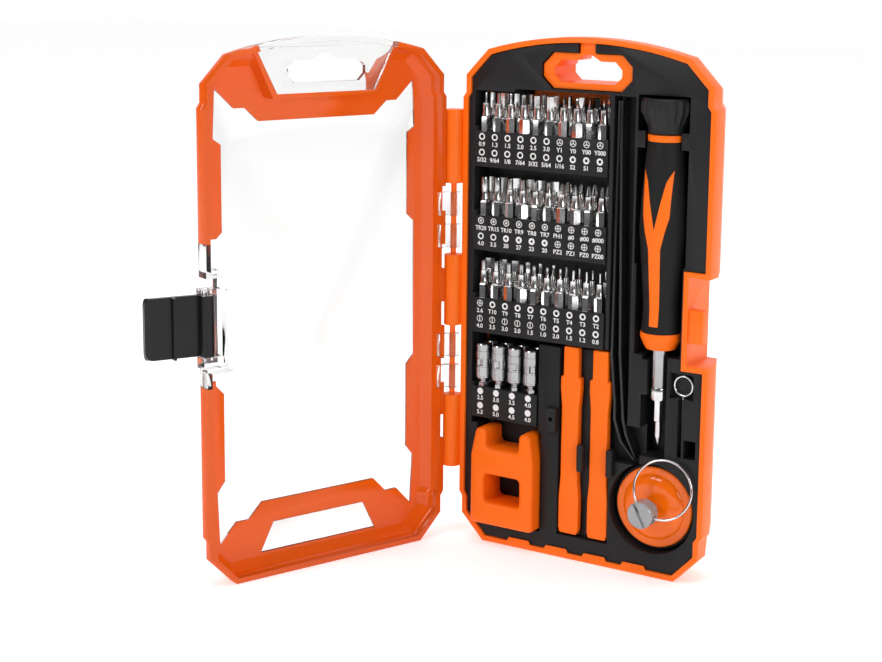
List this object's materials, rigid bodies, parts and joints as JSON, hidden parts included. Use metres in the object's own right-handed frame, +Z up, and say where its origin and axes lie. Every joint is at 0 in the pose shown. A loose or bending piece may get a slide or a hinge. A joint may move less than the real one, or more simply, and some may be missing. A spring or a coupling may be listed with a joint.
{
  "type": "precision screwdriver set",
  "caption": "Hinged carry case standing open, with bit racks, nut drivers, precision driver, tweezers, pry tools, magnetizer and suction lifter in a black tray",
  "frame": {"origin": "middle of the flat foot under the base half, where the case stands", "axes": "+X across the base from the hinge to the latch side, +Y into the base away from its tools, +Z up along the case"},
  "size_m": [0.1903, 0.1535, 0.2286],
  "materials": {
    "orange_shell": "moulded satin gloss",
    "orange_tool": "moulded satin",
    "orange_translucent": "glossy translucent orange",
    "clear_plastic": "clear glossy",
    "black_plastic": "satin black",
    "rack_plastic": "satin black with white print",
    "black_rubber": "matt",
    "tool_black": "satin black",
    "bit_steel": "polished",
    "satin_steel": "turned",
    "grey_plastic": "satin grey",
    "magnet_nickel": "plated"
  },
  "bodies": {
    "base": {"base_shell": "orange_shell", "tray_insert": "black_plastic"},
    "lid": {"lid_frame": "orange_translucent", "lid_panel": "clear_plastic", "latch_pin": "satin_steel"},
    "latch": {"latch": "black_plastic"},
    "driver": {"driver_core": "orange_tool", "driver_inlay": "orange_tool", "driver_grip": "black_rubber", "driver_cap_pin": "satin_steel", "driver_shaft": "satin_steel", "driver_ferrule": "bit_steel", "driver_magnet": "magnet_nickel", "driver_bit": "bit_steel"},
    "driver_cap": {"driver_cap": "black_plastic"},
    "tweezers": {"tweezers_arm_left": "tool_black", "tweezers_arm_right": "tool_black"},
    "pry_tool_1": {"pry_tool_1": "orange_tool"},
    "pry_tool_2": {"pry_tool_2": "orange_tool"},
    "magnetizer": {"magnetizer_body": "orange_tool", "magnetizer_magnets": "magnet_nickel"},
    "suction_lifter": {"suction_rubber": "black_rubber", "suction_plate": "orange_shell", "suction_knob": "grey_plastic"},
    "suction_ring": {"suction_ring": "bit_steel"},
    "eject_pin": {"eject_pin": "bit_steel"},
    "rack_1": {"rack_1": "rack_plastic", "bits_hex_small": "bit_steel", "bits_tri_wing": "bit_steel", "bits_hex_inch": "bit_steel", "bits_square": "bit_steel"},
    "rack_2": {"rack_2": "rack_plastic", "bits_star_bored": "bit_steel", "bits_cross": "bit_steel", "bits_hex_large": "bit_steel", "bits_triangle": "bit_steel", "bits_cross_ribbed": "bit_steel"},
    "rack_3": {"rack_3": "rack_plastic", "bits_star": "bit_steel", "bits_slot": "bit_steel", "bits_five_point": "bit_steel"},
    "rack_4": {"rack_4": "rack_plastic", "sockets_front": "satin_steel", "sockets_back": "satin_steel"}
  },
  "joints": [
    {"name": "lid_hinge", "type": "hinge", "parent": "base", "child": "lid", "pos_m": [-0.0644, -0.004, 0.11], "axis": [0, 0, -1], "range_deg": [-111, 69]},
    {"name": "latch_hinge", "type": "hinge", "parent": "lid", "child": "latch", "pos_m": [-0.11415, -0.11408, 0.111], "axis": [0, 0, -1], "range_deg": [-99, 35]},
    {"name": "rack_1_tilt", "type": "hinge", "parent": "base", "child": "rack_1", "pos_m": [-0.0213, -0.0015, 0.173], "axis": [1, 0, 0], "range_deg": [0, 35]},
    {"name": "rack_2_tilt", "type": "hinge", "parent": "base", "child": "rack_2", "pos_m": [-0.0213, -0.0015, 0.13585], "axis": [1, 0, 0], "range_deg": [0, 35]},
    {"name": "rack_3_tilt", "type": "hinge", "parent": "base", "child": "rack_3", "pos_m": [-0.0213, -0.0015, 0.0987], "axis": [1, 0, 0], "range_deg": [0, 35]},
    {"name": "rack_4_tilt", "type": "hinge", "parent": "base", "child": "rack_4", "pos_m": [-0.0213, -0.0015, 0.0598], "axis": [1, 0, 0], "range_deg": [0, 35]},
    {"name": "driver_lift_out", "type": "slide", "parent": "base", "child": "driver", "axis": [0, -1, 0], "range_m": [0, 0.04]},
    {"name": "tweezers_lift_out", "type": "slide", "parent": "base", "child": "tweezers", "axis": [0, -1, 0], "range_m": [0, 0.03]},
    {"name": "pry_tool_1_lift_out", "type": "slide", "parent": "base", "child": "pry_tool_1", "axis": [0, -1, 0], "range_m": [0, 0.03]},
    {"name": "pry_tool_2_lift_out", "type": "slide", "parent": "base", "child": "pry_tool_2", "axis": [0, -1, 0], "range_m": [0, 0.03]},
    {"name": "magnetizer_lift_out", "type": "slide", "parent": "base", "child": "magnetizer", "axis": [0, -1, 0], "range_m": [0, 0.03]},
    {"name": "suction_lifter_lift_out", "type": "slide", "parent": "base", "child": "suction_lifter", "axis": [0, -1, 0], "range_m": [0, 0.03]},
    {"name": "eject_pin_lift_out", "type": "slide", "parent": "base", "child": "eject_pin", "axis": [0, -1, 0], "range_m": [0, 0.03]},
    {"name": "driver_cap_spin", "type": "hinge", "parent": "driver", "child": "driver_cap", "pos_m": [0.0364, 0.0007, 0.195], "axis": [0, 0, 1], "continuous": true},
    {"name": "suction_ring_swing", "type": "hinge", "parent": "suction_lifter", "child": "suction_ring", "pos_m": [0.03629, -0.0108, 0.03078], "axis": [0.8192, 0, -0.5736], "range_deg": [0, 100]}
  ]
}
